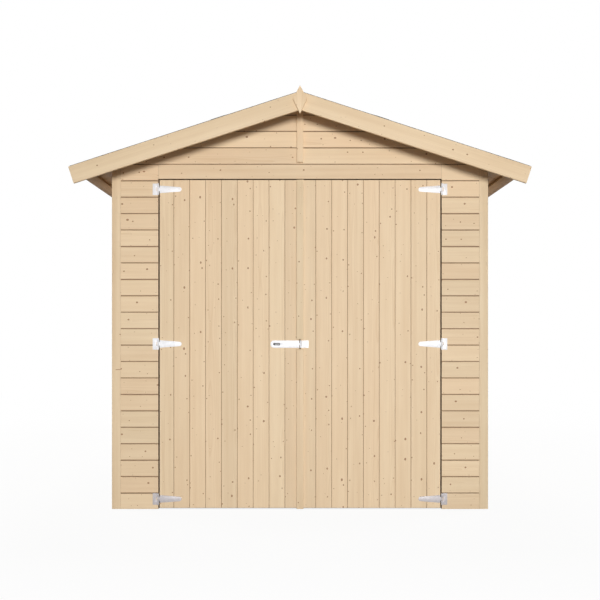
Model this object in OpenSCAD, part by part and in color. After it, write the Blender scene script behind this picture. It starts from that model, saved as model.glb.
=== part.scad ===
// Timber garage with a pair of ledged and braced doors, a boarded gable roof
// and felt covering. Millimetres, +Z up, front (doors) towards -Y.

/* [Building] */
// Width over the side walls
body_w = 2060; // [1840:10:2500]
// Length over the front and back walls
body_l = 3160; // [2400:20:4000]
// Height of the finished ridge
ridge_h = 2220; // [2160:10:2700]
// Roof pitch in degrees
pitch = 18; // [14:0.5:21]
// How far the roof's corners stand out past each side wall
eave_overhang = 170; // [120:5:230]
// How far the roof stands out past the front and back walls
gable_overhang = 220; // [80:5:300]

/* [Walls] */
// Thickness of the wall boards
clad_t = 16; // [12:1:22]
// Side of the square corner posts
post_s = 48; // [40:1:60]
// Setback of the door posts from the opening, behind the wall boards
post_in = 8; // [0:1:20]
// Width of the studs and rails, seen from inside
stud_w = 45; // [30:1:60]
// Studs along each side wall, the end ones included
side_stud_count = 6; // [3:1:8]
// Studs along the back wall, the end ones included
back_stud_count = 4; // [2:1:6]
// Height of the rail over the doorway and of its twin at the back
rail_h = 90; // [70:2:120]
// Height where the gable boards start
gable_base_h = 1890; // [1850:5:1950]
// Width of the upright cover batten on each gable
gable_batten_w = 35; // [24:1:60]
// Thickness of the gable cover batten
gable_batten_t = 20; // [12:1:30]
// Distance of the gable cover batten's foot above the gable boards' lower edge
gable_batten_foot = 6; // [0:1:40]

/* [Roof] */
// Thickness of the roof boards
roof_board_t = 16; // [12:1:22]
// Thickness of the roofing felt
felt_t = 3; // [2:0.5:5]
// Width of the flat battens under the roof boards
batten_w = 39; // [30:1:60]
// Thickness of the flat battens
batten_t = 20; // [14:1:30]
// Distance of the middle battens from the ridge, level
mid_batten_x = 534; // [350:5:700]
// Distance of the eave battens from the roof boards' ends, level
eave_batten_in = 51; // [30:1:80]
// Depth of the ridge beam below the roof boards
ridge_beam_h = 100; // [60:5:140]
// Depth of the rafters behind the gable boards
rafter_h = 45; // [30:1:70]
// Width of the bargeboards
barge_w = 90; // [60:1:120]
// Thickness of the bargeboards
barge_t = 16; // [12:1:25]
// Distance that the bargeboards run past the roof boards' ends
barge_run = 14; // [6:1:25]
// Width of the diamond finial
finial_w = 74; // [50:2:110]
// Height of the diamond finial's tip above the ridge
finial_rise = 23; // [5:1:60]
// Height of the diamond finial's widest point below the ridge
finial_mid = 46; // [25:1:70]
// Height of the diamond finial's lower point below the ridge
finial_drop = 123; // [90:2:150]
// Thickness of the finial
finial_t = 16; // [10:1:25]

/* [Doors] */
// Clear width of the doorway
door_w = 1551; // [1300:5:1640]
// Clear height of the doorway
door_h = 1808; // [1600:5:1840]
// Gap beside each leaf
leaf_side_gap = 7; // [5:0.5:12]
// Gap between the leaves
leaf_meet_gap = 6; // [5.5:0.5:12]
// Gap over the leaves
leaf_top_gap = 7; // [5:0.5:12]
// Gap under the leaves
leaf_foot_gap = 7; // [5:0.5:20]
// Thickness of the leaf boards
leaf_t = 16; // [12:1:22]
// Height of the ledges across the back of each leaf
ledge_h = 80; // [50:2:100]
// Thickness of the ledges and braces
ledge_t = 20; // [14:1:28]
// Distance of the ledges from the hinge edge
ledge_in_hinge = 20; // [12:1:60]
// Distance of the ledges from the meeting edge
ledge_in_meet = 32; // [25:1:80]
// Level width of each diagonal brace
brace_w = 105; // [70:5:130]
// Width of the cover strip on the right leaf
strip_w = 38; // [30:1:60]
// Thickness of the cover strip
strip_t = 16; // [10:1:24]
// Gap between the cover strip's lap and the left leaf
strip_gap = 5; // [5:0.5:8]
// Height of the cover strip's foot above the ground
strip_foot = 4; // [2:1:20]
// Height of the notch in the cover strip at the hasp
strip_notch = 55; // [52:1:90]

/* [Hinges] */
// Height of the lower hinges
hinge_low_z = 56; // [50:1:150]
// Height of the middle hinges
hinge_mid_z = 904; // [700:2:1100]
// Distance of the upper hinges below the doorway's top
hinge_top_in = 58; // [52:1:200]
// Height of the hinge plates
plate_h = 63; // [48:1:90]
// Distance from the pin to the hinge plate's far edge
plate_reach = 30; // [22:1:45]
// Thickness of the hinge metal
hinge_t = 3; // [2:0.5:4]
// Radius of the hinge knuckles
knuckle_r = 5; // [4:0.5:7]
// Radius of the hinge pins
pin_r = 2.5; // [1.5:0.25:3]
// Radial running clearance of the pins
pin_fit = 0.05; // [0.02:0.01:0.1]
// Length of the straps from the pin
strap_l = 128; // [90:2:240]
// Height of the straps at the root
strap_root_h = 42; // [30:1:46]
// Height of the straps at the tip
strap_tip_h = 25; // [14:1:28]

/* [Hasp] */
// Height of the hasp's centre
hasp_z = 903; // [800:1:1000]
// Height of the hasp's strap and plate
hasp_h = 40; // [34:1:44]
// Reach of the hasp's strap past its pin
hasp_l = 166; // [120:2:220]
// Width of the hasp's fixed plate
hasp_plate_w = 39; // [25:1:60]
// Length of the slot in the hasp's strap
slot_l = 40; // [34:1:46]
// Height of the slot in the hasp's strap
slot_h = 13; // [13:0.5:16]
// Distance from the hasp's tip to the slot
slot_in = 14; // [12:1:20]
// Radius of the staple's rod
staple_r = 1.5; // [1:0.25:2]
// Width of the staple between its legs' centres
staple_w = 19; // [16:1:24]
// Reach of the staple in front of the door
staple_out = 22; // [18:1:26]

/* [Hidden] */
$fn = 48;

// colours
spruce = [0.88, 0.78, 0.62];
spruce_frame = [0.84, 0.72, 0.54];
spruce_trim = [0.90, 0.80, 0.64];
felt_grey = [0.33, 0.34, 0.34];
zinc = [0.78, 0.78, 0.77];

// walls
half_w = body_w / 2;
half_l = body_l / 2;
stud_d = post_s - clad_t;
in_w = half_w - post_s;
in_l = half_l - post_s;
door_half = door_w / 2;

// roof planes
slope = tan(pitch);
felt_rise = felt_t / cos(pitch);
board_rise = roof_board_t / cos(pitch);
seat = 0.05; // sheets and timbers lie this close without touching on the slopes
under_z = ridge_h - felt_rise - board_rise - seat;
corner_x = half_w + eave_overhang;
eave_x = corner_x - barge_run;
roof_l = half_l + gable_overhang;
boards_l = roof_l - barge_t;
far = corner_x + 100;
rail_top = door_h + rail_h;

// leaves
leaf_hinge_x = door_half - leaf_side_gap;
leaf_meet_x = leaf_meet_gap / 2;
leaf_top = door_h - leaf_top_gap;
face_y = -half_l;
leaf_back_y = face_y + leaf_t;
hinge_zs = [hinge_low_z, hinge_mid_z, door_h - hinge_top_in];

// hinge pins stand over the gap beside each leaf
pin_x = door_half + 0.5;
pin_y = face_y - knuckle_r - 1.5;
knuckle_gap = 0.5;

// hasp pin on the right leaf, beside the gap between the leaves
hasp_x = leaf_meet_x + 1;
hasp_gap = 5;
hasp_y = face_y - hasp_gap - hinge_t;

function roof_z(x) = under_z - abs(x) * slope;

// prism of an outline in X and Z, between two Y values
module xz_prism(points, y0, y1) {
    translate([0, y1, 0])
        rotate([90, 0, 0])
            linear_extrude(height = y1 - y0)
                polygon(points);
}

module block(x0, x1, y0, y1, z0, z1) {
    translate([x0, y0, z0])
        cube([x1 - x0, y1 - y0, z1 - z0]);
}

module right_side() {
    mirror([1, 0, 0])
        children();
}

module back_end() {
    mirror([0, 1, 0])
        children();
}

module both_sides() {
    children();
    right_side()
        children();
}

module both_ends() {
    children();
    back_end()
        children();
}

// everything below the roof boards
module under_roof() {
    xz_prism([[-far, -10], [-far, roof_z(far) - seat], [0, under_z - seat],
        [far, roof_z(far) - seat], [far, -10]], -roof_l, roof_l);
}

module below_roof_block(x0, x1, y0, y1, z0) {
    intersection() {
        block(x0, x1, y0, y1, z0, ridge_h);
        under_roof();
    }
}

// a flat batten under the left roof slope, centred at a level distance
module slope_batten(x) {
    ux = cos(pitch);
    uz = sin(pitch);
    h = batten_w / 2;
    top = [-x, roof_z(x) - seat];
    xz_prism([
        [top[0] - h * ux, top[1] - h * uz],
        [top[0] + h * ux, top[1] + h * uz],
        [top[0] + h * ux + batten_t * uz, top[1] + h * uz - batten_t * ux],
        [top[0] - h * ux + batten_t * uz, top[1] - h * uz - batten_t * ux]
    ], -boards_l, boards_l);
}

module front_wall_left() {
    color(spruce)
        intersection() {
            block(-in_w, -door_half, face_y, face_y + clad_t, 0, gable_base_h);
            under_roof();
        }
}

module front_wall_right() {
    right_side()
        front_wall_left();
}

module front_lintel() {
    color(spruce)
        block(-door_half, door_half, face_y, face_y + clad_t, door_h, gable_base_h);
}

module front_gable_left() {
    color(spruce)
        difference() {
            below_roof_block(-in_w, 0, face_y, face_y + clad_t, gable_base_h);
            slope_batten(mid_batten_x);
        }
}

module front_gable_right() {
    right_side()
        front_gable_left();
}

module gable_battens() {
    color(spruce_trim)
        both_ends()
            below_roof_block(-gable_batten_w / 2, gable_batten_w / 2,
                face_y - gable_batten_t, face_y, gable_base_h + gable_batten_foot);
}

module back_wall() {
    color(spruce)
        intersection() {
            block(-in_w, in_w, half_l - clad_t, half_l, 0, gable_base_h);
            under_roof();
        }
}

module back_gable_left() {
    back_end()
        front_gable_left();
}

module back_gable_right() {
    back_end()
        front_gable_right();
}

module left_wall() {
    color(spruce)
        below_roof_block(-half_w, -half_w + clad_t, -in_l, in_l, 0);
}

module right_wall() {
    right_side()
        left_wall();
}

module corner_posts() {
    color(spruce_trim)
        both_ends()
            both_sides()
                below_roof_block(-half_w, -in_w, -half_l, -in_l, 0);
}

module door_posts() {
    color(spruce_frame)
        both_sides() {
            block(-door_half - post_in - post_s, -door_half - post_in, face_y + clad_t, -in_l, 0, door_h);
            block(-in_w, -in_w + stud_w, face_y + clad_t, -in_l, 0, door_h);
        }
}

module cross_rail() {
    color(spruce_frame)
        intersection() {
            block(-in_w, in_w, -half_l + clad_t, -in_l, door_h, rail_top);
            under_roof();
        }
}

module front_rail() {
    cross_rail();
}

module back_rail() {
    back_end()
        cross_rail();
}

module back_studs() {
    color(spruce_frame)
        for (i = [0 : back_stud_count - 1]) {
            x = -in_w + (2 * in_w - stud_w) * i / (back_stud_count - 1);
            block(x, x + stud_w, in_l, half_l - clad_t, stud_w, door_h);
        }
}

module side_studs() {
    color(spruce_frame)
        both_sides()
            for (i = [0 : side_stud_count - 1]) {
                y = -in_l + (2 * in_l - stud_w) * i / (side_stud_count - 1);
                block(-half_w + clad_t, -in_w, y, y + stud_w,
                    stud_w, roof_z(half_w - clad_t) - stud_w);
            }
}

module side_sole_plates() {
    color(spruce_frame)
        both_sides()
            block(-half_w + clad_t, -in_w, -in_l, in_l, 0, stud_w);
}

module back_sole_plate() {
    color(spruce_frame)
        block(-in_w, in_w, in_l, half_l - clad_t, 0, stud_w);
}

module top_plates() {
    color(spruce_frame)
        both_sides()
            below_roof_block(-half_w + clad_t, -in_w, -in_l, in_l,
                roof_z(half_w - clad_t) - stud_w);
}

// rafter behind the left half of the front gable boards
module gable_rafter() {
    difference() {
        below_roof_block(-in_w, -stud_w / 2, -half_l + clad_t, -in_l, rail_top);
        translate([0, 0, -rafter_h / cos(pitch)])
            under_roof();
        slope_batten(mid_batten_x);
    }
}

module gable_rafters() {
    color(spruce_frame)
        both_ends()
            both_sides()
                gable_rafter();
}

module gable_posts() {
    color(spruce_frame)
        both_ends()
            block(-stud_w / 2, stud_w / 2, -half_l + clad_t, -in_l,
                rail_top, under_z - ridge_beam_h);
}

module ridge_beam() {
    color(spruce_frame)
        below_roof_block(-stud_w / 2, stud_w / 2, -half_l + clad_t, half_l - clad_t,
            under_z - ridge_beam_h);
}

module roof_battens() {
    color(spruce_frame)
        both_sides() {
            slope_batten(mid_batten_x);
            slope_batten(eave_x - eave_batten_in);
        }
}

// a sheet on the left slope: lower edge height at the ridge, its rise, reach and half length
module slope_sheet(z, rise, x, l) {
    xz_prism([[0, z], [0, z + rise], [-x, z + rise - x * slope], [-x, z - x * slope]], -l, l);
}

module roof_boards_left() {
    color(spruce_trim)
        slope_sheet(under_z, board_rise, eave_x, boards_l);
}

module roof_boards_right() {
    right_side()
        roof_boards_left();
}

module roof_felt_left() {
    color(felt_grey)
        union() {
            slope_sheet(ridge_h - felt_rise, felt_rise, eave_x + felt_t, roof_l);
            block(-eave_x - felt_t, -eave_x, -boards_l, boards_l,
                roof_z(eave_x), ridge_h - felt_rise / 2 - (eave_x + felt_t) * slope);
        }
}

module roof_felt_right() {
    right_side()
        roof_felt_left();
}

// a bargeboard on the left slope at the front
module bargeboard() {
    z = ridge_h - felt_rise - seat;
    end = [-corner_x, z - corner_x * slope];
    xz_prism([[0, z], end,
        [end[0] + barge_w * sin(pitch), end[1] - barge_w * cos(pitch)],
        [0, z - barge_w / cos(pitch)]], -roof_l, -boards_l);
}

module bargeboards_left() {
    color(spruce_trim)
        both_ends()
            bargeboard();
}

module bargeboards_right() {
    right_side()
        bargeboards_left();
}

module gable_finials() {
    color(spruce_trim)
        both_ends()
            xz_prism([[0, ridge_h + finial_rise], [-finial_w / 2, ridge_h - finial_mid],
                [0, ridge_h - finial_drop], [finial_w / 2, ridge_h - finial_mid]],
                -roof_l - finial_t, -roof_l);
}

// fixed half of one hinge at the left of the doorway, with its pin
module hinge_plate(z) {
    third = plate_h / 6;
    block(-pin_x - plate_reach, -pin_x - knuckle_r - 4, face_y - hinge_t, face_y,
        z - plate_h / 2, z + plate_h / 2);
    for (s = [-1, 1])
        translate([0, 0, z + s * plate_h / 3]) {
            block(-pin_x - knuckle_r - 5, -pin_x, face_y - hinge_t, face_y,
                -third, third);
            translate([-pin_x, pin_y, -third])
                cylinder(r = knuckle_r, h = 2 * third);
        }
    translate([-pin_x, pin_y, z - plate_h / 2])
        cylinder(r = pin_r, h = plate_h);
}

module hinge_plates_left() {
    color(zinc)
        for (z = hinge_zs)
            hinge_plate(z);
}

module hinge_plates_right() {
    right_side()
        hinge_plates_left();
}

// moving half of one hinge: knuckle and tapered strap on the left leaf
module hinge_strap(z) {
    half_knuckle = plate_h / 6 - knuckle_gap;
    root_x = -leaf_hinge_x + 0.5;
    tip_x = -pin_x + strap_l - strap_tip_h / 2;
    difference() {
        union() {
            translate([-pin_x, pin_y, z - half_knuckle])
                cylinder(r = knuckle_r, h = 2 * half_knuckle);
            block(-pin_x + 1, root_x + 1, face_y - hinge_t, face_y,
                z - half_knuckle, z + half_knuckle);
        }
        translate([-pin_x, pin_y, z - plate_h])
            cylinder(r = pin_r + pin_fit, h = 2 * plate_h);
    }
    xz_prism([[root_x, z - strap_root_h / 2], [tip_x, z - strap_tip_h / 2],
        [tip_x, z + strap_tip_h / 2], [root_x, z + strap_root_h / 2]],
        face_y - hinge_t, face_y);
    translate([tip_x, face_y, z])
        rotate([90, 0, 0])
            cylinder(r = strap_tip_h / 2, h = hinge_t);
}

module hinge_straps_left() {
    color(zinc)
        for (z = hinge_zs)
            hinge_strap(z);
}

module hinge_straps_right() {
    right_side()
        hinge_straps_left();
}

module left_leaf_boards() {
    color(spruce)
        block(-leaf_hinge_x, -leaf_meet_x, face_y, leaf_back_y, leaf_foot_gap, leaf_top);
}

module right_leaf_boards() {
    right_side()
        left_leaf_boards();
}

ledge_x0 = -leaf_hinge_x + ledge_in_hinge;
ledge_x1 = -leaf_meet_x - ledge_in_meet;

module left_leaf_ledges() {
    color(spruce_frame)
        for (z = hinge_zs)
            block(ledge_x0, ledge_x1, leaf_back_y, leaf_back_y + ledge_t,
                z - ledge_h / 2, z + ledge_h / 2);
}

module right_leaf_ledges() {
    right_side()
        left_leaf_ledges();
}

// braces rise from the hinge side to the meeting side
module left_leaf_braces() {
    color(spruce_frame)
        for (i = [0, 1]) {
            z0 = hinge_zs[i] + ledge_h / 2;
            z1 = hinge_zs[i + 1] - ledge_h / 2;
            xz_prism([[ledge_x0, z0], [ledge_x0 + brace_w, z0],
                [ledge_x1, z1], [ledge_x1 - brace_w, z1]],
                leaf_back_y, leaf_back_y + ledge_t);
        }
}

module right_leaf_braces() {
    right_side()
        left_leaf_braces();
}

// cover strip over the gap, fixed to the right leaf and notched for the hasp
module cover_strip_part(z0, z1) {
    difference() {
        block(-strip_w / 2, strip_w / 2, face_y - strip_t, face_y, z0, z1);
        block(-strip_w, leaf_meet_x, face_y - strip_gap, face_y + 1, z0 - 1, z1 + 1);
    }
}

module cover_strip() {
    color(spruce_trim)
        union() {
            cover_strip_part(strip_foot, hasp_z - strip_notch / 2);
            cover_strip_part(hasp_z + strip_notch / 2, leaf_top);
        }
}

module hasp_plate() {
    sixth = hasp_h / 6;
    color(zinc)
        union() {
            block(hasp_x + 4, hasp_x + 4 + hasp_plate_w, face_y - hinge_t, face_y,
                hasp_z - hasp_h / 2, hasp_z + hasp_h / 2);
            for (s = [-1, 1])
                translate([0, 0, hasp_z + s * hasp_h / 3]) {
                    block(hasp_x, hasp_x + 6, hasp_y + 2, face_y, -sixth, sixth);
                    translate([hasp_x, hasp_y, -sixth])
                        cylinder(r = knuckle_r, h = 2 * sixth);
                }
            translate([hasp_x, hasp_y, hasp_z - hasp_h / 2])
                cylinder(r = pin_r, h = hasp_h);
        }
}

slot_x0 = hasp_x - hasp_l + slot_in;

module hasp_strap() {
    half_knuckle = hasp_h / 6 - knuckle_gap;
    end_x = hasp_x - hasp_l + hasp_h / 2;
    root_x = hasp_x - knuckle_r - 3;
    color(zinc)
        difference() {
            union() {
                translate([hasp_x, hasp_y, hasp_z - half_knuckle])
                    cylinder(r = knuckle_r, h = 2 * half_knuckle);
                block(root_x - 1, hasp_x - 2, hasp_y, hasp_y + hinge_t,
                    hasp_z - half_knuckle, hasp_z + half_knuckle);
                block(end_x, root_x, hasp_y, hasp_y + hinge_t,
                    hasp_z - hasp_h / 2, hasp_z + hasp_h / 2);
                translate([end_x, hasp_y + hinge_t, hasp_z])
                    rotate([90, 0, 0])
                        cylinder(r = hasp_h / 2, h = hinge_t);
            }
            translate([hasp_x, hasp_y, hasp_z - hasp_h])
                cylinder(r = pin_r + pin_fit, h = 2 * hasp_h);
            block(slot_x0 + slot_h / 2, slot_x0 + slot_l - slot_h / 2,
                hasp_y - 1, hasp_y + hinge_t + 1, hasp_z - slot_h / 2, hasp_z + slot_h / 2);
            for (x = [slot_x0 + slot_h / 2, slot_x0 + slot_l - slot_h / 2])
                translate([x, hasp_y + hinge_t + 1, hasp_z])
                    rotate([90, 0, 0])
                        cylinder(r = slot_h / 2, h = hinge_t + 2);
        }
}

// staple on the left leaf, standing out through the hasp's slot
module hasp_staple() {
    x1 = slot_x0 + slot_l - 5 - staple_r;
    x0 = x1 - staple_w;
    color(zinc)
        union() {
            for (x = [x0, x1])
                translate([x, face_y, hasp_z])
                    rotate([90, 0, 0])
                        cylinder(r = staple_r, h = staple_out);
            translate([x0 - staple_r, face_y - staple_out + staple_r, hasp_z])
                rotate([0, 90, 0])
                    cylinder(r = staple_r, h = staple_w + 2 * staple_r);
        }
}

front_wall_left();
front_wall_right();
front_lintel();
front_gable_left();
front_gable_right();
gable_battens();
back_wall();
back_gable_left();
back_gable_right();
left_wall();
right_wall();
corner_posts();
door_posts();
front_rail();
back_rail();
back_studs();
side_studs();
side_sole_plates();
back_sole_plate();
top_plates();
gable_rafters();
gable_posts();
ridge_beam();
roof_battens();
roof_boards_left();
roof_boards_right();
roof_felt_left();
roof_felt_right();
bargeboards_left();
bargeboards_right();
gable_finials();
hinge_plates_left();
hinge_plates_right();
left_leaf_boards();
left_leaf_ledges();
left_leaf_braces();
hinge_straps_left();
hasp_staple();
right_leaf_boards();
right_leaf_ledges();
right_leaf_braces();
cover_strip();
hinge_straps_right();
hasp_plate();
hasp_strap();
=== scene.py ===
"""Looks of a small boarded timber garage.

Boards, joinery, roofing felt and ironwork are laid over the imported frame, in metres, and each
piece rides on one of the frame's bodies.
"""

import logging
import math
import random
from dataclasses import dataclass
from enum import Enum

import bmesh
import bpy
from mathutils import Matrix, Vector, noise


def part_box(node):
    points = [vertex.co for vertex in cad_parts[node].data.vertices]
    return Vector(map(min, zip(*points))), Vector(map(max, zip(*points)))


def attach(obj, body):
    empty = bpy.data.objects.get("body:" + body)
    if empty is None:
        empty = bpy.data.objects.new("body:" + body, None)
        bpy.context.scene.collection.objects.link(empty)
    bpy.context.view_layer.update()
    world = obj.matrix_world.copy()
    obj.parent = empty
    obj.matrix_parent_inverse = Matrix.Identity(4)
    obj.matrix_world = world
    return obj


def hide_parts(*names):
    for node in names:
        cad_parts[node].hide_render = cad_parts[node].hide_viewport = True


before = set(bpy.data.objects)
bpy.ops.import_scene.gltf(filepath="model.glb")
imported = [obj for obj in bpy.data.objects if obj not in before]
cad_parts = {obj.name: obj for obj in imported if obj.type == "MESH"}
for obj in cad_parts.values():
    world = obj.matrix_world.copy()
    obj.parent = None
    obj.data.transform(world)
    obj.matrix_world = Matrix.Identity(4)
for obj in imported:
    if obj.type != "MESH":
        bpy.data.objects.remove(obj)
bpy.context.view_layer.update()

LOG = logging.getLogger("garage")
MM = 0.001
COLOUR = tuple[float, float, float]


class Signal:
    """A shader socket that takes part in Python arithmetic."""

    def __init__(self, shader: "Shader", socket: bpy.types.NodeSocket) -> None:
        """Keeps the socket and the shader that it belongs to."""
        self.shader = shader
        self.socket = socket

    def __add__(self, other: "Signal | float") -> "Signal":
        """Adds."""
        return self.shader.maths("ADD", self, other)

    def __radd__(self, other: float) -> "Signal":
        """Adds, number first."""
        return self.shader.maths("ADD", other, self)

    def __sub__(self, other: "Signal | float") -> "Signal":
        """Subtracts."""
        return self.shader.maths("SUBTRACT", self, other)

    def __rsub__(self, other: float) -> "Signal":
        """Subtracts, number first."""
        return self.shader.maths("SUBTRACT", other, self)

    def __mul__(self, other: "Signal | float") -> "Signal":
        """Multiplies."""
        return self.shader.maths("MULTIPLY", self, other)

    def __rmul__(self, other: float) -> "Signal":
        """Multiplies, number first."""
        return self.shader.maths("MULTIPLY", other, self)

    def __truediv__(self, other: "Signal | float") -> "Signal":
        """Divides."""
        return self.shader.maths("DIVIDE", self, other)

    def __rtruediv__(self, other: float) -> "Signal":
        """Divides, number first."""
        return self.shader.maths("DIVIDE", other, self)

    def __pow__(self, other: "Signal | float") -> "Signal":
        """Raises to a power."""
        return self.shader.maths("POWER", self, other)

    def clamped(self) -> "Signal":
        """Limits to 0 to 1."""
        return self.shader.maths("MINIMUM", self.shader.maths("MAXIMUM", self, 0.0), 1.0)

    def fraction(self) -> "Signal":
        """Keeps what follows the decimal point."""
        return self.shader.maths("FRACT", self)

    def root(self) -> "Signal":
        """Takes the square root."""
        return self.shader.maths("SQRT", self)

    def above(self, limit: "Signal | float") -> "Signal":
        """Gives 1 where this is above a limit, or else 0."""
        return self.shader.maths("GREATER_THAN", self, limit)


class Shader:
    """One procedural material and the nodes it is made of."""

    def __init__(self, name: str) -> None:
        """Starts a material with a Principled surface.

        Args:
            name: the material's name.
        """
        self.material = bpy.data.materials.new(name)
        self.material.use_nodes = True
        self.tree = self.material.node_tree
        self.tree.nodes.clear()
        self.surface = self.node("ShaderNodeBsdfPrincipled")
        self.output = self.node("ShaderNodeOutputMaterial")
        self.tree.links.new(self.surface.outputs[0], self.output.inputs["Surface"])

    def node(
        self, kind: str, settings: dict | None = None, inputs: dict | None = None
    ) -> bpy.types.Node:
        """Adds a node.

        Args:
            kind: the node's type.
            settings: properties, set before the sockets; stops are a ramp's.
            inputs: values or signals, by socket name or number.

        Returns:
            The node.
        """
        made = self.tree.nodes.new(kind)
        for key, value in (settings or {}).items():
            if key == "stops":
                elements = made.color_ramp.elements
                while len(elements) < len(value):
                    elements.new(0.5)
                for element, (place, colour) in zip(elements, value):
                    element.position = place
                    element.color = (*colour, 1.0)
            else:
                setattr(made, key, value)
        for key, value in (inputs or {}).items():
            if isinstance(value, Signal):
                self.tree.links.new(value.socket, made.inputs[key])
            else:
                made.inputs[key].default_value = value
        return made

    def signal(
        self,
        kind: str,
        output: str | int,
        settings: dict | None = None,
        inputs: dict | None = None,
    ) -> Signal:
        """Adds a node and gives one of its outputs as a signal."""
        return Signal(self, self.node(kind, settings, inputs).outputs[output])

    def maths(self, operation: str, *values: "Signal | float") -> Signal:
        """Adds a Math node for an operation on values."""
        return self.signal(
            "ShaderNodeMath", 0, {"operation": operation}, dict(enumerate(values))
        )

    def split(self, vector: Signal) -> list[Signal]:
        """Parts a vector into its three numbers."""
        parted = self.node("ShaderNodeSeparateXYZ", inputs={0: vector})
        return [Signal(self, socket) for socket in parted.outputs]

    def join(self, *values: "Signal | float") -> Signal:
        """Makes a vector of three numbers."""
        return self.signal("ShaderNodeCombineXYZ", 0, inputs=dict(enumerate(values)))

    def attribute(self, name: str) -> Signal:
        """Reads a vector that the mesh carries."""
        return self.signal("ShaderNodeAttribute", "Vector", {"attribute_name": name})

    def place(self) -> Signal:
        """Reads Object coordinates."""
        return self.signal("ShaderNodeTexCoord", "Object")

    def noise(
        self, vector: Signal, scale: float = 1.0, detail: float = 2.0, rough: float = 0.5
    ) -> Signal:
        """Adds a noise of about 0 to 1."""
        return self.signal(
            "ShaderNodeTexNoise",
            0,
            inputs={
                "Vector": vector,
                "Scale": scale,
                "Detail": detail,
                "Roughness": rough,
            },
        )

    def mix(
        self,
        share: "Signal | float",
        first: "Signal | COLOUR",
        second: "Signal | COLOUR",
        blend: str = "MIX",
    ) -> Signal:
        """Mixes two colours.

        Args:
            share: how much of the second one is taken.
            first: a colour or a signal.
            second: a colour or a signal.
            blend: the Mix node's blend type.

        Returns:
            The mixed colour.
        """
        sides = [
            side if isinstance(side, Signal) else (*side, 1.0)
            for side in (first, second)
        ]
        return self.signal(
            "ShaderNodeMix",
            2,
            {"data_type": "RGBA", "blend_type": blend},
            {0: share, 6: sides[0], 7: sides[1]},
        )

    def bump(self, height: Signal, strength: float, distance: float) -> Signal:
        """Turns a height into a normal."""
        return self.signal(
            "ShaderNodeBump",
            0,
            inputs={"Height": height, "Strength": strength, "Distance": distance},
        )

    def dress(self, **sockets: "Signal | float | COLOUR") -> bpy.types.Material:
        """Sets the surface's sockets, with _ for a space in their names.

        Args:
            sockets: values or signals.

        Returns:
            The finished material.
        """
        for name, value in sockets.items():
            socket = self.surface.inputs[name.replace("_", " ")]
            if isinstance(value, Signal):
                self.tree.links.new(value.socket, socket)
            elif isinstance(value, tuple):
                socket.default_value = (*value, 1.0)
            else:
                socket.default_value = value
        return self.material


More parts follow.
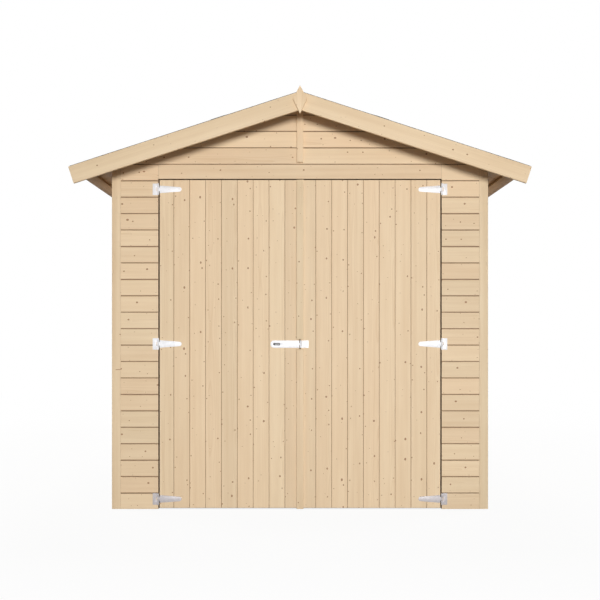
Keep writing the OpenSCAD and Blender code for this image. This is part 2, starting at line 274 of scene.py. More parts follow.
@dataclass(frozen=True)
class SpruceFinish:
    """Planed, unfinished spruce with growth rings, fibres and small knots."""

    name: str
    pale: COLOUR = (0.800, 0.640, 0.440)
    dark: COLOUR = (0.640, 0.460, 0.280)
    ring_pitch: float = 3.4 * MM
    ring_depth: float = 0.42
    knot_share: float = 0.96
    knot_size: float = 3.3 * MM
    roughness: float = 0.58
    fibre_lift: float = 0.5

    def knots(
        self, s: Shader, x: Signal, y: Signal, z: Signal
    ) -> tuple[Signal, Signal, Signal]:
        """Scatters round knots over a board.

        Args:
            s: the shader.
            x: place along the board, in metres.
            y: place across the board, in metres.
            z: depth in the board, in metres.

        Returns:
            The knots' mask, the mask of their dark rims, and how much they push the rings aside.
        """
        along, across = 10.0, 15.0
        cells = s.node(
            "ShaderNodeTexVoronoi",
            {"voronoi_dimensions": "3D", "feature": "F1"},
            {"Vector": s.join(x * along, y * across, z * 22.0), "Scale": 1.0},
        )
        centre_x, centre_y, _ = s.split(Signal(s, cells.outputs["Position"]))
        chance, size, lean = s.split(Signal(s, cells.outputs["Color"]))
        dx = x - centre_x / along
        dy = y - centre_y / across
        wobble = s.noise(s.join(x * 160.0, y * 160.0, lean), detail=1.0)
        away = (dx * dx * (0.45 + lean * 0.5) + dy * dy).root() * (0.82 + wobble * 0.36)
        exists = chance.above(1.0 - self.knot_share)
        radius = (size * size * size * 1.15 + 0.45) * self.knot_size * exists
        mask = ((radius - away) / (0.9 * MM) + 0.5).clamped() * exists
        rim = mask * ((away - radius * 0.62) / (radius * 0.3 + 0.2 * MM)).clamped()
        push = (1.0 - away / (radius * 4.5 + 0.1 * MM)).clamped() * radius * 1.6
        return mask, rim, push

    def material(self) -> bpy.types.Material:
        """Makes the material, which reads each board's own grain and tone."""
        s = Shader(self.name)
        x, y, z = s.split(s.attribute("grain"))
        light, warm, seed = s.split(s.attribute("tone"))
        mask, rim, push = self.knots(s, x, y, z)
        sway = s.noise(s.join(x * 1.7, y * 7.0, z * 7.0), detail=2.0) - 0.5
        side = y - (seed - 0.5) * 0.19
        depth = z + 0.018 + warm * 0.075
        ring = (side * side + depth * depth).root() + sway * 0.016 + push
        phase = (ring / self.ring_pitch).fraction()
        late = phase * phase * phase * ((1.0 - phase) * 9.0).clamped()
        streak = s.noise(s.join(x * 1.1, y * 52.0, z * 52.0), detail=4.0, rough=0.6)
        fibre = s.noise(s.join(x * 14.0, y * 900.0, z * 900.0), detail=3.0, rough=0.65)
        patch = s.noise(s.join(x * 3.0, y * 14.0, z * 14.0), detail=2.0)
        share = late * self.ring_depth + (streak - 0.5) * 0.85 + (patch - 0.5) * 0.45
        wood = s.mix((share + 0.16).clamped(), self.pale, self.dark)
        tint = s.mix(warm, (1.0, 0.985, 0.955), (1.0, 0.950, 0.910))
        wood = s.mix(1.0, wood, tint, "MULTIPLY")
        level = 0.92 + light * 0.09 + (fibre - 0.5) * 0.12
        wood = s.mix(1.0, wood, s.join(level, level, level), "MULTIPLY")
        heart = s.mix(
            (ring / (1.1 * MM)).fraction() * 0.5, (0.33, 0.155, 0.062), (0.22, 0.09, 0.034)
        )
        heart = s.mix(rim, heart, (0.13, 0.052, 0.022))
        wood = s.mix(mask * 0.88, wood, heart)
        # Painted shade: brown darkening down the board grooves, and at cut end grain, which is
        # darkened enough to paint the shade in the door gaps.
        joint = s.signal("ShaderNodeAttribute", "Fac", {"attribute_name": "joint"})
        wood = s.mix(joint * 0.8, wood, (0.16, 0.075, 0.030))
        height = fibre * self.fibre_lift - late * 0.5 + mask * 0.6
        return s.dress(
            Base_Color=wood,
            Roughness=(self.roughness + (fibre - 0.5) * 0.2 - mask * 0.12).clamped(),
            Specular_IOR_Level=0.32,
            Normal=s.bump(height, 0.22, 0.35 * MM),
        )


@dataclass(frozen=True)
class FeltFinish:
    """Bitumen felt with a mineral surface of small grey granules."""

    name: str
    base: COLOUR = (0.150, 0.153, 0.158)

    def material(self) -> bpy.types.Material:
        """Makes the material on Object coordinates."""
        s = Shader(self.name)
        place = s.place()
        granule = s.node(
            "ShaderNodeTexVoronoi", {"feature": "F1"}, {"Vector": place, "Scale": 620.0}
        )
        chance, hue, _ = s.split(Signal(s, granule.outputs["Color"]))
        far = Signal(s, granule.outputs["Distance"])
        worn = s.noise(place, scale=2.3, detail=5.0, rough=0.6)
        speckle = s.mix(chance, (0.055, 0.057, 0.060), (0.290, 0.292, 0.296))
        speckle = s.mix(hue * 0.5, speckle, self.base)
        colour = s.mix(((worn - 0.35) * 1.6).clamped() * 0.5, speckle, self.base)
        return s.dress(
            Base_Color=colour,
            Roughness=(0.88 + worn * 0.1).clamped(),
            Specular_IOR_Level=0.25,
            Normal=s.bump(1.0 - far, 0.6, 0.7 * MM),
        )


@dataclass(frozen=True)
class ZincFinish:
    """Bright galvanised steel with faint spangles."""

    name: str
    base: COLOUR = (0.80, 0.80, 0.82)
    dull: COLOUR = (0.66, 0.66, 0.68)
    metallic: float = 0.18

    def material(self) -> bpy.types.Material:
        """Makes the material on Object coordinates."""
        s = Shader(self.name)
        place = s.place()
        spangle = s.node(
            "ShaderNodeTexVoronoi", {"feature": "F1"}, {"Vector": place, "Scale": 210.0}
        )
        chance, _, _ = s.split(Signal(s, spangle.outputs["Color"]))
        smear = s.noise(place, scale=90.0, detail=3.0)
        colour = s.mix(chance * 0.35, self.base, self.dull)
        colour = s.mix((smear - 0.45).clamped() * 0.8, colour, self.dull)
        return s.dress(
            Base_Color=colour,
            Metallic=(self.metallic - (smear - 0.5) * 0.3).clamped(),
            Roughness=(0.48 + chance * 0.08 + smear * 0.08).clamped(),
            Normal=s.bump(smear + chance * 0.3, 0.1, 0.2 * MM),
        )


class Finish(Enum):
    """The garage's finishes."""

    CLADDING = SpruceFinish("spruce_wall_boards")
    DOOR = SpruceFinish("spruce_door_boards")
    TRIM = SpruceFinish(
        "spruce_trim", pale=(0.815, 0.660, 0.455), knot_share=0.70, knot_size=2.5 * MM
    )
    FRAMING = SpruceFinish(
        "spruce_framing",
        pale=(0.76, 0.590, 0.385),
        roughness=0.72,
        fibre_lift=1.1,
        knot_size=5.0 * MM,
    )
    # Painted shade: a darker copy of the spruce for the roof boards and eave battens, seen only
    # from below in the eaves' shade.
    ROOF = SpruceFinish(
        "spruce_roof_boards", pale=(0.47, 0.325, 0.195), dark=(0.34, 0.215, 0.115)
    )
    FELT = FeltFinish("roofing_felt")
    ZINC = ZincFinish("galvanised_steel")
    # Painted shade: near-black steel for the plate that stands for the shade in the hasp slot.
    SLOT_SHADE_STEEL = ZincFinish(
        "slot_shade_steel", (0.085, 0.083, 0.085), (0.06, 0.058, 0.06), 0.3
    )
    # Painted shade: a darker, duller copy of the zinc for the lower hinges.
    SHADED_ZINC = ZincFinish(
        "galvanised_steel_painted_shade", (0.47, 0.44, 0.445), (0.40, 0.375, 0.38), 0.35
    )


class Wardrobe:
    """Makes each material once and hands it out."""

    def __init__(self) -> None:
        """Starts with no materials made."""
        self.made: dict[Finish, bpy.types.Material] = {}

    def get(self, finish: Finish) -> bpy.types.Material:
        """Gives the material of a finish."""
        if finish not in self.made:
            self.made[finish] = finish.value.material()
        return self.made[finish]


def islands(bm: bmesh.types.BMesh) -> list[list[bmesh.types.BMVert]]:
    """Finds the separate timbers in a mesh.

    Args:
        bm: the mesh.

    Returns:
        The vertices of each connected part, in the mesh's order.
    """
    seen: set[bmesh.types.BMVert] = set()
    found = []
    for start in bm.verts:
        if start in seen:
            continue
        seen.add(start)
        group, queue = [], [start]
        while queue:
            vert = queue.pop()
            group.append(vert)
            for edge in vert.link_edges:
                other = edge.other_vert(vert)
                if other not in seen:
                    seen.add(other)
                    queue.append(other)
        found.append(group)
    return found


def mark_grain(bm: bmesh.types.BMesh, rng: random.Random, upright: bool = False) -> None:
    """Writes each timber's own coordinates and a random tone into vertex layers.

    Args:
        bm: the mesh, one connected part a timber.
        rng: where the random tones come from.
        upright: whether the grain runs up, not along the longest edge.
    """
    grain = bm.verts.layers.float_vector.new("grain")
    tone = bm.verts.layers.float_vector.new("tone")
    bm.normal_update()
    for group in islands(bm):
        edges = {edge for vert in group for edge in vert.link_edges}
        faces = {face for vert in group for face in vert.link_faces}
        longest = max(edges, key=lambda edge: (round(edge.calc_length(), 6), -edge.index))
        along = (longest.verts[1].co - longest.verts[0].co).normalized()
        if upright:
            along = Vector((0.0, 0.0, 1.0))
        broad = max(faces, key=lambda face: (round(face.calc_area(), 8), -face.index))
        across = along.cross(broad.normal).normalized()
        inward = along.cross(across)
        centre = sum((vert.co for vert in group), Vector()) / len(group)
        start = rng.uniform(0.0, 60.0)
        mood = Vector((rng.random(), rng.random(), rng.random()))
        for vert in group:
            p = vert.co - centre
            vert[grain] = Vector((p.dot(along) + start, p.dot(across), p.dot(inward)))
            vert[tone] = mood


def darken_ends(bm: bmesh.types.BMesh, along: Vector, ends: tuple[Vector, ...]) -> None:
    """Gives boards a dark tone at their cut ends: end grain's own darker tone, made dark enough
    to paint the shade in the gaps beside the doors.

    Args:
        bm: the mesh, with the layer of painted groove shade and end grain.
        along: the direction of the boards.
        ends: a point on each end.
    """
    joint = bm.verts.layers.float["joint"]
    for end in ends:
        for inset in (-1.0 * MM, 1.0 * MM):
            bmesh.ops.bisect_plane(
                bm,
                geom=bm.verts[:] + bm.edges[:] + bm.faces[:],
                dist=1e-6,
                plane_co=end + along * inset,
                plane_no=along,
            )
        for vert in bm.verts:
            if abs((vert.co - end).dot(along)) < 0.2 * MM:
                vert[joint] = max(vert[joint], 0.8)


def close_cut(bm: bmesh.types.BMesh, point: Vector, outward: Vector) -> None:
    """Cuts away what lies outside a plane and closes the ends.

    Args:
        bm: the mesh.
        point: a point on the plane.
        outward: the plane's normal, on the side that goes.
    """
    bmesh.ops.bisect_plane(
        bm,
        geom=bm.verts[:] + bm.edges[:] + bm.faces[:],
        dist=1e-6,
        plane_co=point,
        plane_no=outward,
        clear_outer=True,
    )
    open_edges = [edge for edge in bm.edges if edge.is_boundary]
    if open_edges:
        bmesh.ops.holes_fill(bm, edges=open_edges, sides=0)


def soften(bm: bmesh.types.BMesh, width: float, segments: int = 2, angle: float = 30.0) -> None:
    """Rounds the sharp edges of a mesh.

    Args:
        bm: the mesh.
        width: how far the rounding reaches.
        segments: how many strips it has.
        angle: the least angle between faces that counts as sharp, in degrees.
    """
    limit = math.radians(angle)
    sharp = [
        edge
        for edge in bm.edges
        if edge.is_manifold and edge.calc_face_angle(0.0) > limit
    ]
    bmesh.ops.bevel(
        bm,
        geom=sharp,
        offset=width,
        affect="EDGES",
        segments=segments,
        profile=0.5,
        material=-1,
        clamp_overlap=True,
    )
    bmesh.ops.dissolve_degenerate(bm, dist=2e-6, edges=bm.edges[:])


def frame_copy(node: str) -> bmesh.types.BMesh:
    """Copies a frame node as a clean closed mesh.

    Args:
        node: the node's name.

    Returns:
        The mesh, with its flat faces whole.
    """
    bm = bmesh.new()
    bm.from_mesh(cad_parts[node].data)
    bmesh.ops.remove_doubles(bm, verts=bm.verts, dist=1e-5)
    bmesh.ops.dissolve_limit(
        bm, angle_limit=math.radians(0.6), verts=bm.verts[:], edges=bm.edges[:]
    )
    return bm


@dataclass(frozen=True)
class Section:
    """Cross-section of a tongued and grooved board."""

    thickness: float
    groove: float
    depth: float
    chamfer: float

    def outline(self, cover: float, groove: float) -> list[tuple[float, float]]:
        """Draws the board end on.

        Args:
            cover: width of wall that the board covers.
            groove: open width of its joint to the next board.

        Returns:
            Points as distances across the board and below its face.
        """
        edge = cover - groove
        return [
            (self.chamfer, 0.0),
            (edge - self.chamfer, 0.0),
            (edge, self.chamfer),
            (edge, self.depth),
            (cover, self.depth),
            (cover, self.thickness),
            (0.0, self.thickness),
            (0.0, self.chamfer),
        ]


@dataclass
class Boarding:
    """Boards laid side by side from an origin."""

    section: Section
    origin: Vector
    along: Vector
    across: Vector
    inward: Vector
    length: float
    covers: list[float]

    def lay(self, bm: bmesh.types.BMesh, rng: random.Random) -> None:
        """Adds the boards to a mesh, with painted shade in their grooves that deepens towards
        the groove's bottom.

        Args:
            bm: the mesh.
            rng: where the small differences in the joints come from.
        """
        joint = bm.verts.layers.float.new("joint")
        at = 0.0
        for cover in self.covers:
            groove = self.section.groove * rng.uniform(0.8, 1.2)
            verts = []
            for c, d in self.section.outline(cover, groove):
                vert = bm.verts.new(self.origin + self.across * (at + c) + self.inward * d)
                # Painted shade: 0 on the face, rising to 1 at the bottom of the groove.
                if d < self.section.thickness:
                    vert[joint] = d / self.section.depth
                verts.append(vert)
            face = bm.faces.new(verts)
            grown = bmesh.ops.extrude_face_region(bm, geom=[face])
            moved = [g for g in grown["geom"] if isinstance(g, bmesh.types.BMVert)]
            bmesh.ops.translate(bm, verts=moved, vec=self.along * self.length)
            at += cover


class Workshop:
    """Turns meshes into dressed pieces that ride on the frame."""

    def __init__(self) -> None:
        """Starts with an empty wardrobe."""
        self.wardrobe = Wardrobe()
        self.count = 0

    def seed(self, name: str) -> random.Random:
        """Gives a random source that depends only on a piece's name."""
        return random.Random(name)

    def add(
        self,
        bm: bmesh.types.BMesh,
        name: str,
        finish: Finish,
        body: str,
        slot: str,
        replaces: tuple[str, ...] = (),
        smooth: float = 32.0,
    ) -> bpy.types.Object:
        """Makes a piece of a mesh.

        Args:
            bm: the mesh, which is used up.
            name: the piece's name.
            finish: its finish.
            body: the frame body it rides on.
            slot: not used.
            replaces: frame nodes that it stands for.
            smooth: angle below which neighbouring faces are shaded as one, in degrees.

        Returns:
            The piece.
        """
        bmesh.ops.recalc_face_normals(bm, faces=bm.faces[:])
        mesh = bpy.data.meshes.new(name)
        for face in bm.faces:
            face.smooth = True
        limit = math.radians(smooth)
        for edge in bm.edges:
            edge.smooth = edge.is_manifold and edge.calc_face_angle(0.0) < limit
        bm.to_mesh(mesh)
        bm.free()
        made = bpy.data.objects.new(name, mesh)
        bpy.context.scene.collection.objects.link(made)
        mesh.materials.append(self.wardrobe.get(finish))
        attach(made, body)
        if replaces:
            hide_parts(*replaces)
        self.count += 1
        LOG.info("%s: %d faces on %s", name, len(mesh.polygons), body)
        return made

    def timber(
        self,
        node: str,
        finish: Finish,
        body: str = "garage",
        slot: str = "frame_timber",
        edge: float = 1.2 * MM,
        upright: bool = False,
    ) -> bpy.types.Object:
        """Makes a frame node's timbers with eased edges and their own grain.

        Args:
            node: the frame node.
            finish: its finish.
            body: the frame body it rides on.
            slot: passed on to add, which does not use it.
            edge: how far the edges are eased; 0 leaves them sharp.
            upright: whether the grain runs up.

        Returns:
            The piece, which stands for the node.
        """
        bm = frame_copy(node)
        if edge > 0.0:
            soften(bm, edge)
        mark_grain(bm, self.seed(node), upright)
        return self.add(bm, f"{node}_timber", finish, body, slot, (node,))


X = Vector((1.0, 0.0, 0.0))
Y = Vector((0.0, 1.0, 0.0))
Z = Vector((0.0, 0.0, 1.0))


@dataclass
class Roofline:
    """The planes of the roof boards' undersides."""

    pitch: float = math.radians(18.0)
    under: float = 0.0

    def __post_init__(self) -> None:
        """Reads the ridge's height from the roof boards' box."""
        low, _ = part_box("roof_boards_left")
        self.under = low.z - low.x * math.tan(self.pitch)

    def outward(self, side: float) -> Vector:
        """Gives the slope's normal on the left, -1, or the right, 1."""
        return Vector((side * math.sin(self.pitch), 0.0, math.cos(self.pitch)))

    def trim(self, bm: bmesh.types.BMesh, *sides: float) -> None:
        """Cuts boards off under the slopes on the given sides."""
        for side in sides:
            close_cut(bm, Vector((0.0, 0.0, self.under - 0.1 * MM)), self.outward(side))


@dataclass
class Walls:
    """The boarded walls and gables, their posts and the frame behind them."""

    shop: Workshop
    roof: Roofline
    cover: float = 90.0 * MM
    section: Section = Section(16.0 * MM, 5.0 * MM, 7.0 * MM, 1.6 * MM)

    def rows(self, low: float, high: float) -> list[float]:
        """Gives the covers of the board rows between two heights."""
        return [self.cover] * math.ceil((high - low) / self.cover - 0.01)

    def facade(self, node: str, inward: Vector, base: float, *slopes: float) -> None:
        """Boards a front or back wall's node.

        Args:
            node: the frame node.
            inward: the direction into the building.
            base: the height where the first row starts.
            slopes: the sides whose roof slope trims it.
        """
        low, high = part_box(node)
        face = low.y if inward.y > 0.0 else high.y
        rng = self.shop.seed(node)
        bm = bmesh.new()
        Boarding(
            self.section,
            Vector((low.x, face, base)),
            X,
            Z,
            inward,
            high.x - low.x,
            self.rows(base, high.z),
        ).lay(bm, rng)
        self.roof.trim(bm, *slopes)
        if low.z > base + 0.1 * MM:
            close_cut(bm, low, -Z)
        darken_ends(bm, X, (low, high))
        mark_grain(bm, rng)
        self.shop.add(
            bm, f"{node}_boards", Finish.CLADDING, "garage", "cladding", (node,)
        )

    def flank(self, node: str, side: float) -> None:
        """Boards a side wall.

        Args:
            node: the frame node.
            side: -1 on the left, 1 on the right.
        """
        low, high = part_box(node)
        rng = self.shop.seed(node)
        face = low.x if side < 0.0 else high.x
        bm = bmesh.new()
        Boarding(
            self.section,
            Vector((face, low.y, 0.0)),
            Y,
            Z,
            -X * side,
            high.y - low.y,
            self.rows(0.0, high.z),
        ).lay(bm, rng)
        self.roof.trim(bm, side)
        mark_grain(bm, rng)
        self.shop.add(
            bm, f"{node}_boards", Finish.CLADDING, "garage", "cladding", (node,)
        )

    def build(self) -> None:
        """Makes every wall piece."""
        lintel_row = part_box("front_wall_left")[1].z - self.cover
        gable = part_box("front_gable_left")[0].z
        self.facade("front_wall_left", Y, 0.0, -1.0)
        self.facade("front_wall_right", Y, 0.0, 1.0)
        self.facade("front_lintel", Y, lintel_row)
        self.facade("front_gable_left", Y, gable, -1.0)
        self.facade("front_gable_right", Y, gable, 1.0)
        self.facade("back_wall", -Y, 0.0, -1.0, 1.0)
        self.facade("back_gable_left", -Y, gable, -1.0)
        self.facade("back_gable_right", -Y, gable, 1.0)
        self.flank("left_wall", -1.0)
        self.flank("right_wall", 1.0)
        self.shop.timber("corner_posts", Finish.TRIM, slot="trim_timber", edge=1.6 * MM)
        self.shop.timber("gable_battens", Finish.TRIM, slot="trim_timber", edge=1.6 * MM)
        for node in (
            "door_posts",
            "front_rail",
            "back_rail",
            "back_studs",
            "side_studs",
            "side_sole_plates",
            "back_sole_plate",
            "top_plates",
            "gable_posts",
        ):
            self.shop.timber(node, Finish.FRAMING)
        self.shop.timber("gable_rafters", Finish.FRAMING, edge=0.0)


@dataclass
class Roof:
    """Roof boards, battens, ridge beam, bargeboards, finials and felt."""

    shop: Workshop
    line: Roofline
    cover: float = 90.0 * MM
    section: Section = Section(16.0 * MM, 3.0 * MM, 4.5 * MM, 1.2 * MM)
    sheet: float = 1.5 * MM
    lap_top: float = 0.40
    lap_end: float = 0.48
    step: float = 0.06
    nail_pitch: float = 0.15

    def down(self, side: float) -> Vector:
        """Gives the direction down a slope."""
        return Vector(
            (side * math.cos(self.line.pitch), 0.0, -math.sin(self.line.pitch))
        )

    def boards(self, node: str, side: float) -> None:
        """Lays the roof boards down one slope, grooves below.

        Args:
            node: the frame node.
            side: -1 on the left, 1 on the right.
        """
        low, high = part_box(node)
        reach = max(abs(low.x), abs(high.x))
        rng = self.shop.seed(node)
        count = math.ceil((high.y - low.y) / self.cover - 0.01)
        bm = bmesh.new()
        ridge = Vector((0.0, low.y, self.line.under))
        down, up = self.down(side), self.line.outward(side)
        Boarding(
            self.section,
            ridge - down * 0.03,
            down,
            Y,
            up,
            reach / math.cos(self.line.pitch) + 0.08,
            [self.cover] * count,
        ).lay(bm, rng)
        close_cut(bm, Vector((0.0, 0.0, 0.0)), -X * side)
        close_cut(bm, Vector((side * reach, 0.0, 0.0)), X * side)
        close_cut(bm, high, Y)
        mark_grain(bm, rng)
        # Darker spruce: painted shade under the eaves.
        self.shop.add(
            bm, f"{node}_laid", Finish.ROOF, "garage", "roof_boards", (node,)
        )

    def strip(
        self,
        bm: bmesh.types.BMesh,
        side: float,
        path: list[tuple[float, float]],
        half: float,
        seed: float,
    ) -> None:
        """Lays one length of felt along the roof.

        Args:
            bm: the mesh it is added to.
            side: -1 on the left, 1 on the right.
            path: the sheet's underside as distances down the slope and above the roof boards.
            half: half its length.
            seed: shifts its small waves.
        """
        down, up = self.down(side), self.line.outward(side)
        top = Vector((0.0, 0.0, self.line.under)) + up * self.section.thickness
        pairs = [top + down * s + up * h for s, h in path]
        verts = [bm.verts.new(p - Y * half) for p in pairs]
        edges = [bm.edges.new(pair) for pair in zip(verts, verts[1:])]
        steps = math.ceil(2.0 * half / self.step)
        for _ in range(steps):
            grown = bmesh.ops.extrude_edge_only(bm, edges=edges)
            moved = [g for g in grown["geom"] if isinstance(g, bmesh.types.BMVert)]
            edges = [g for g in grown["geom"] if isinstance(g, bmesh.types.BMEdge)]
            bmesh.ops.translate(bm, verts=moved, vec=Y * (2.0 * half / steps))
            verts += moved
        for vert in verts:
            wave = noise.noise(Vector((vert.co.x * 5.0, vert.co.y * 4.0, seed)))
            vert.co += up * (abs(wave) * 0.7 * MM)
        faces = list({face for vert in verts for face in vert.link_faces})
        bmesh.ops.recalc_face_normals(bm, faces=faces)
        if sum(face.normal.dot(up) for face in faces) < 0.0:
            bmesh.ops.reverse_faces(bm, faces=faces)
        bmesh.ops.solidify(bm, geom=faces, thickness=-self.sheet)

    def felt(self, node: str, side: float) -> None:
        """Covers one slope with an eave length and a ridge length of felt.

        Args:
            node: the frame node.
            side: -1 on the left, 1 on the right.
        """
        low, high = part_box(node)
        reach = max(abs(low.x), abs(high.x)) / math.cos(self.line.pitch)
        gap = 0.1 * MM
        cells = 9
        eave = [
            (self.lap_top + (reach - 1.5 * MM - self.lap_top) * i / cells, gap)
            for i in range(cells + 1)
        ]
        lift = self.sheet + 2.0 * gap
        ridge = [(self.lap_top * i / 5.0, gap) for i in range(5)]
        ridge += [
            (self.lap_top - 0.012, gap),
            (self.lap_top + 0.012, lift),
            (self.lap_end, lift),
        ]
        bm = bmesh.new()
        self.strip(bm, side, eave, high.y, 3.1)
        self.strip(bm, side, ridge, high.y, 7.7)
        fold_x = side * (max(abs(low.x), abs(high.x)) - self.sheet)
        fold = bmesh.ops.create_cube(bm, size=1.0)["verts"]
        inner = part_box("roof_boards_left")[1].y
        bottom = low.z + 0.2 * MM
        crest = bottom + self.section.thickness + 2.0 * MM
        bmesh.ops.transform(
            bm,
            verts=fold,
            matrix=Matrix.Translation((fold_x, 0.0, (bottom + crest) / 2.0))
            @ Matrix.Diagonal((self.sheet, 2.0 * inner, crest - bottom, 1.0)),
        )
        self.shop.add(
            bm, f"{node}_lengths", Finish.FELT, "garage", "roofing_felt", (node,)
        )

    def felt_nails(self) -> None:
        """Drives clout nails along the laps and the eaves."""
        bm = bmesh.new()
        low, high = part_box("roof_felt_left")
        reach = -low.x / math.cos(self.line.pitch)
        count = int((2.0 * high.y - 0.1) / self.nail_pitch)
        for side in (-1.0, 1.0):
            down, up = self.down(side), self.line.outward(side)
            top = Vector((0.0, 0.0, self.line.under)) + up * self.section.thickness
            turn = up.to_track_quat("Z", "Y").to_matrix().to_4x4()
            for s, h in ((self.lap_end - 0.025, 3.4 * MM), (reach - 0.03, 1.9 * MM)):
                for i in range(count + 1):
                    y = -count * self.nail_pitch / 2.0 + i * self.nail_pitch
                    head = bmesh.ops.create_cone(
                        bm,
                        cap_ends=True,
                        segments=10,
                        radius1=4.6 * MM,
                        radius2=3.6 * MM,
                        depth=1.3 * MM,
                    )["verts"]
                    place = Matrix.Translation(top + down * s + up * h + Y * y) @ turn
                    bmesh.ops.transform(bm, verts=head, matrix=place)
        self.shop.add(bm, "felt_nails", Finish.ZINC, "garage", "hinge_steel")

    def build(self) -> None:
        """Makes every roof piece."""
        for name, side in (("left", -1.0), ("right", 1.0)):
            self.boards(f"roof_boards_{name}", side)
            self.felt(f"roof_felt_{name}", side)
            self.shop.timber(
                f"bargeboards_{name}", Finish.TRIM, slot="trim_timber", edge=1.5 * MM
            )
        # Darker spruce: painted shade under the eaves.
        self.shop.timber("roof_battens", Finish.ROOF)
        self.shop.timber("ridge_beam", Finish.FRAMING)
        self.shop.timber(
            "gable_finials", Finish.TRIM, slot="trim_timber", edge=1.5 * MM, upright=True
        )
        self.felt_nails()


@dataclass(frozen=True)
class Screw:
    """A countersunk screw with a cross recess."""

    radius: float = 3.7 * MM
    rise: float = 0.7 * MM

    def drive(self, bm: bmesh.types.BMesh, point: Vector, out: Vector, turn: float) -> None:
        """Adds the screw's head to a mesh.

        Args:
            bm: the mesh.
            point: the middle of the head, on the surface.
            out: the direction that the head faces.
            turn: how far the recess is turned, in radians.
        """
        verts = bmesh.ops.create_circle(bm, segments=8, radius=self.radius)["verts"]
        edges = list({edge for vert in verts for edge in vert.link_edges})
        bmesh.ops.contextual_create(bm, geom=edges)
        for inner, rise in ((0.86, self.rise), (0.46, self.rise * 0.25), (0.8, -self.rise)):
            grown = bmesh.ops.extrude_edge_only(bm, edges=edges)["geom"]
            ring = [g for g in grown if isinstance(g, bmesh.types.BMVert)]
            edges = [g for g in grown if isinstance(g, bmesh.types.BMEdge)]
            bmesh.ops.scale(bm, verts=ring, vec=(inner, inner, 1.0))
            bmesh.ops.translate(bm, verts=ring, vec=(0.0, 0.0, rise))
            if inner < 0.5:
                ring.sort(key=lambda vert: math.atan2(vert.co.y, vert.co.x))
                bmesh.ops.scale(bm, verts=ring[::2], vec=(0.35, 0.35, 1.0))
            verts += ring
        bmesh.ops.contextual_create(bm, geom=edges)
        place = (
            Matrix.Translation(point)
            @ out.to_track_quat("Z", "Y").to_matrix().to_4x4()
            @ Matrix.Rotation(turn, 4, "Z")
        )
        bmesh.ops.transform(bm, verts=verts, matrix=place)


@dataclass
class Ironwork:
    """Hinges, hasp and staple."""

    shop: Workshop
    screw: Screw = Screw()
    plate_screws: tuple[tuple[float, float], ...] = ((9.5, 22.0), (9.5, -22.0), (14.0, 0.0))
    strap_screws: tuple[tuple[float, float], ...] = (
        (17.0, 11.5),
        (27.0, -10.5),
        (58.0, 0.0),
        (88.0, 0.0),
        (113.0, 0.0),
    )
    shade_height: float = 0.3

    def iron(
        self,
        node: str,
        body: str,
        slot: str,
        screws: list[tuple[float, float]],
        edge: float = 0.6 * MM,
        shade_below: float = 0.0,
    ) -> None:
        """Makes a frame node's ironwork with eased edges and screws in its face.

        Args:
            node: the frame node.
            body: the frame body it rides on.
            slot: passed on to add, which does not use it.
            screws: places across and up, in metres.
            edge: how far the edges are eased.
            shade_below: height under which the zinc is darker, painted shade on the lower
                hinges.
        """
        bm = frame_copy(node)
        soften(bm, edge, 2, 35.0)
        low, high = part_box(node)
        rng = self.shop.seed(node)
        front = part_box("left_leaf_boards")[0].y - 3.0 * MM
        for x, z in screws:
            self.screw.drive(bm, Vector((x, front, z)), -Y, rng.uniform(0.0, 3.0))
        # Painted shade: faces below the height take the darker zinc.
        for face in bm.faces:
            face.material_index = int(face.calc_center_median().z < shade_below)
        made = self.shop.add(bm, f"{node}_iron", Finish.ZINC, body, slot, (node,))
        if shade_below > 0.0:
            made.data.materials.append(self.shop.wardrobe.get(Finish.SHADED_ZINC))

    def build(self) -> None:
        """Makes every piece of ironwork."""
        straps = frame_copy("hinge_straps_left")
        spans = [[vert.co.z for vert in group] for group in islands(straps)]
        heights = [(min(span) + max(span)) / 2.0 for span in spans]
        straps.free()
        for name, side in (("left", -1.0), ("right", 1.0)):
            low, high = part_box(f"hinge_plates_{name}")
            edge = low.x if side < 0.0 else high.x
            plate = [
                (edge - side * u * MM, z + v * MM)
                for z in heights
                for u, v in self.plate_screws
            ]
            self.iron(
                f"hinge_plates_{name}",
                "garage",
                "hinge_steel",
                plate,
                shade_below=self.shade_height,
            )
            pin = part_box(f"hinge_straps_{name}")
            root = pin[0].x if side < 0.0 else pin[1].x
            strap = [
                (root - side * (5.0 + u) * MM, z + v * MM)
                for z in heights
                for u, v in self.strap_screws
            ]
            self.iron(
                f"hinge_straps_{name}",
                f"{name}_leaf",
                "hinge_steel",
                strap,
                shade_below=self.shade_height,
            )
        low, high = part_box("hasp_plate")
        middle = (low.z + high.z) / 2.0
        screws = [
            (high.x - u * MM, middle + v * MM)
            for u, v in ((9.0, 12.0), (9.0, -12.0), (26.0, 12.0), (26.0, -12.0))
        ]
        self.iron("hasp_plate", "right_leaf", "hasp_steel", screws)
        self.iron("hasp_strap", "hasp", "hasp_steel", [])
        self.iron("hasp_staple", "left_leaf", "hasp_steel", [], 0.2 * MM)
        # Painted shade: a near-black plate where the hasp slot lies in shade.
        self.slot_shade_plate()


    def slot_shade_plate(self, width: float = 46.0 * MM, height: float = 18.0 * MM) -> None:
        """Makes a near-black plate behind the staple, painted shade in the hasp strap's slot.

        Args:
            width: its width.
            height: its height.
        """
        low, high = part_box("hasp_staple")
        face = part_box("left_leaf_boards")[0].y
        centre = Vector(((low.x + high.x) / 2.0, face - 0.6 * MM, (low.z + high.z) / 2.0))
        bm = bmesh.new()
        bmesh.ops.create_cube(
            bm,
            size=1.0,
            matrix=Matrix.Translation(centre)
            @ Matrix.Diagonal((width, 1.2 * MM, height, 1.0)),
        )
        upright = [
            edge
            for edge in bm.edges
            if abs((edge.verts[0].co - edge.verts[1].co).normalized().y) > 0.9
        ]
        bmesh.ops.bevel(
            bm,
            geom=upright,
            offset=4.0 * MM,
            affect="EDGES",
            segments=4,
            profile=0.5,
            material=-1,
        )
        self.shop.add(bm, "slot_shade_plate", Finish.SLOT_SHADE_STEEL, "left_leaf", "hasp_steel")


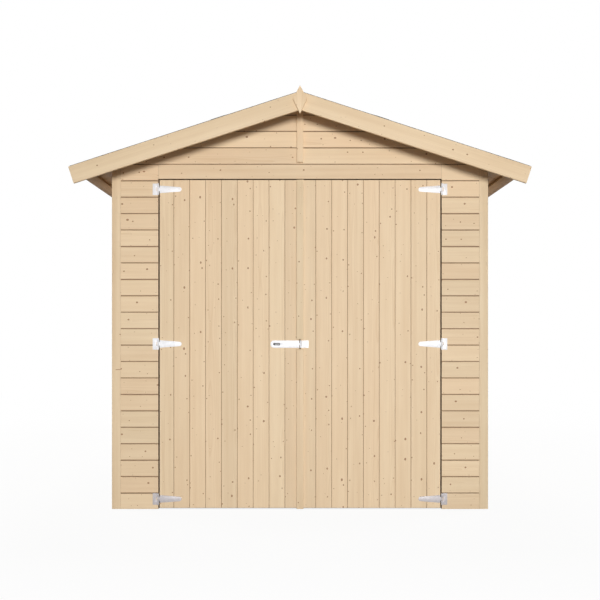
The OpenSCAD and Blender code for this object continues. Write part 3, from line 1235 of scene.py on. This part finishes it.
@dataclass
class Leaf:
    """One door leaf: upright boards, ledges and braces."""

    shop: Workshop
    name: str
    widths: list[float]
    section: Section = Section(16.0 * MM, 1.9 * MM, 4.0 * MM, 1.0 * MM)

    def build(self) -> None:
        """Makes the leaf's timber."""
        node = f"{self.name}_boards"
        low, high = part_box(node)
        rng = self.shop.seed(node)
        scale = (high.x - low.x + self.section.groove) / sum(self.widths)
        bm = bmesh.new()
        Boarding(
            self.section,
            low.copy(),
            Z,
            X,
            Y,
            high.z - low.z,
            [width * scale for width in self.widths],
        ).lay(bm, rng)
        close_cut(bm, high, X)
        mark_grain(bm, rng)
        self.shop.add(
            bm, f"{self.name}_boards_laid", Finish.DOOR, self.name, "door_boards", (node,)
        )
        for part in ("ledges", "braces"):
            self.shop.timber(
                f"{self.name}_{part}", Finish.FRAMING, self.name, "door_timber"
            )


@dataclass
class Studio:
    """Pale floor, white backdrop, soft lamps and the camera."""

    eye_height: float = 1.0
    distance: float = 4.0
    lens: float = 43.84
    sensor: float = 36.0
    rise: float = 0.044
    world_level: float = 0.11
    key_power: float = 960.0
    fill_power: float = 420.0
    floor_tone: float = 0.82
    floor_bounce: float = 0.18
    floor_lift: float = 0.94
    floor_half: tuple[float, float] = (1.0, 1.55)

    def seen(self, shader: Shader) -> Signal:
        """Gives 1 for camera, glossy and transmission rays, or else 0."""
        path = shader.node("ShaderNodeLightPath")
        kinds = ("Is Camera Ray", "Is Glossy Ray", "Is Transmission Ray")
        total = Signal(shader, path.outputs[kinds[0]])
        for kind in kinds[1:]:
            total = total + Signal(shader, path.outputs[kind])
        return total.clamped()

    def floor(self) -> None:
        """Makes the floor, whose colour is lifted towards white where it is seen."""
        bm = bmesh.new()
        bmesh.ops.create_grid(bm, x_segments=4, y_segments=4, size=60.0)
        mesh = bpy.data.meshes.new("studio_floor")
        bm.to_mesh(mesh)
        bm.free()
        floor = bpy.data.objects.new("studio_floor", mesh)
        bpy.context.scene.collection.objects.link(floor)
        s = Shader("studio_floor")
        seen = self.seen(s)
        tones = [(tone, tone, tone) for tone in (self.floor_bounce, self.floor_tone)]
        s.dress(Base_Color=s.mix(seen, *tones), Roughness=0.9, Specular_IOR_Level=0.1)
        glow = s.node(
            "ShaderNodeEmission", inputs={"Color": (1.0, 1.0, 1.0, 1.0), "Strength": 1.0}
        )
        x, y, _ = s.split(s.place())
        far = (((x * x + y * y).root() - 2.5) / 4.0).clamped()
        lift = far * (1.0 - self.floor_lift) + self.floor_lift
        sides = [
            ((s.maths("ABSOLUTE", at) - half) / (20.0 * MM)).clamped()
            for at, half in zip((x, y), self.floor_half)
        ]
        lift = lift * s.maths("MAXIMUM", *sides)
        mixed = s.node(
            "ShaderNodeMixShader",
            inputs={
                0: seen * lift,
                1: Signal(s, s.surface.outputs[0]),
                2: Signal(s, glow.outputs[0]),
            },
        )
        s.tree.links.new(mixed.outputs[0], s.output.inputs["Surface"])
        mesh.materials.append(s.material)

    def world(self) -> None:
        """Makes an even pale world that is seen as plain white."""
        world = bpy.data.worlds.new("studio_world")
        bpy.context.scene.world = world
        world.use_nodes = True
        tree = world.node_tree
        tree.nodes.clear()
        path = tree.nodes.new("ShaderNodeLightPath")
        either = tree.nodes.new("ShaderNodeMath")
        either.operation = "MAXIMUM"
        tree.links.new(path.outputs["Is Camera Ray"], either.inputs[0])
        tree.links.new(path.outputs["Is Glossy Ray"], either.inputs[1])
        also = tree.nodes.new("ShaderNodeMath")
        also.operation = "MAXIMUM"
        tree.links.new(either.outputs[0], also.inputs[0])
        tree.links.new(path.outputs["Is Transmission Ray"], also.inputs[1])
        level = tree.nodes.new("ShaderNodeMapRange")
        level.inputs["To Min"].default_value = self.world_level
        level.inputs["To Max"].default_value = 1.0
        tree.links.new(also.outputs[0], level.inputs["Value"])
        background = tree.nodes.new("ShaderNodeBackground")
        background.inputs["Color"].default_value = (1.0, 1.0, 1.0, 1.0)
        tree.links.new(level.outputs[0], background.inputs["Strength"])
        out = tree.nodes.new("ShaderNodeOutputWorld")
        tree.links.new(background.outputs[0], out.inputs[0])

    def lamp(self, name: str, place: Vector, aim: Vector, size: float, power: float) -> None:
        """Hangs a square area lamp.

        Args:
            name: the lamp's name.
            place: where it hangs.
            aim: the point it faces.
            size: its side.
            power: its power in watts.
        """
        data = bpy.data.lights.new(name, "AREA")
        data.shape = "SQUARE"
        data.size = size
        data.energy = power
        lamp = bpy.data.objects.new(name, data)
        lamp.location = place
        lamp.rotation_euler = (aim - place).to_track_quat("-Z", "Y").to_euler()
        bpy.context.scene.collection.objects.link(lamp)

    def camera(self) -> None:
        """Sets the camera level in front of the doors."""
        data = bpy.data.cameras.new("studio_camera")
        data.sensor_width = self.sensor
        data.lens = self.lens
        data.shift_y = self.rise
        data.clip_end = 200.0
        camera = bpy.data.objects.new("studio_camera", data)
        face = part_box("left_leaf_boards")[0].y
        camera.location = (0.0, face - self.distance, self.eye_height)
        camera.rotation_euler = (math.radians(90.0), 0.0, 0.0)
        bpy.context.scene.collection.objects.link(camera)
        bpy.context.scene.camera = camera

    def build(self) -> None:
        """Makes the whole studio."""
        bpy.context.scene.view_settings.view_transform = "Standard"
        self.floor()
        self.world()
        middle = Vector((0.0, 0.0, 1.1))
        self.lamp("key_lamp", Vector((0.7, -12.2, 1.5)), middle, 1.7, self.key_power)
        for name, place in (
            ("left_fill", Vector((-8.0, 2.0, 2.6))),
            ("right_fill", Vector((8.0, 2.0, 2.6))),
            ("back_fill", Vector((0.0, 9.5, 2.6))),
            ("top_fill", Vector((0.0, 3.0, 14.0))),
        ):
            self.lamp(name, place, middle, 3.0, self.fill_power)
        self.camera()


def main() -> None:
    """Builds the garage and the studio."""
    logging.basicConfig(level=logging.INFO, format="%(message)s")
    shop = Workshop()
    line = Roofline()
    Walls(shop, line).build()
    Roof(shop, line).build()
    inner = [86.9] * 7
    Leaf(shop, "left_leaf", [79.0, *inner, 80.6]).build()
    Leaf(shop, "right_leaf", [84.5, *inner, 75.1]).build()
    shop.timber("cover_strip", Finish.TRIM, "right_leaf", "trim_timber", 1.5 * MM)
    Ironwork(shop).build()
    Studio().build()
    LOG.info("%d pieces", shop.count)


if __name__ == "__main__":
    main()
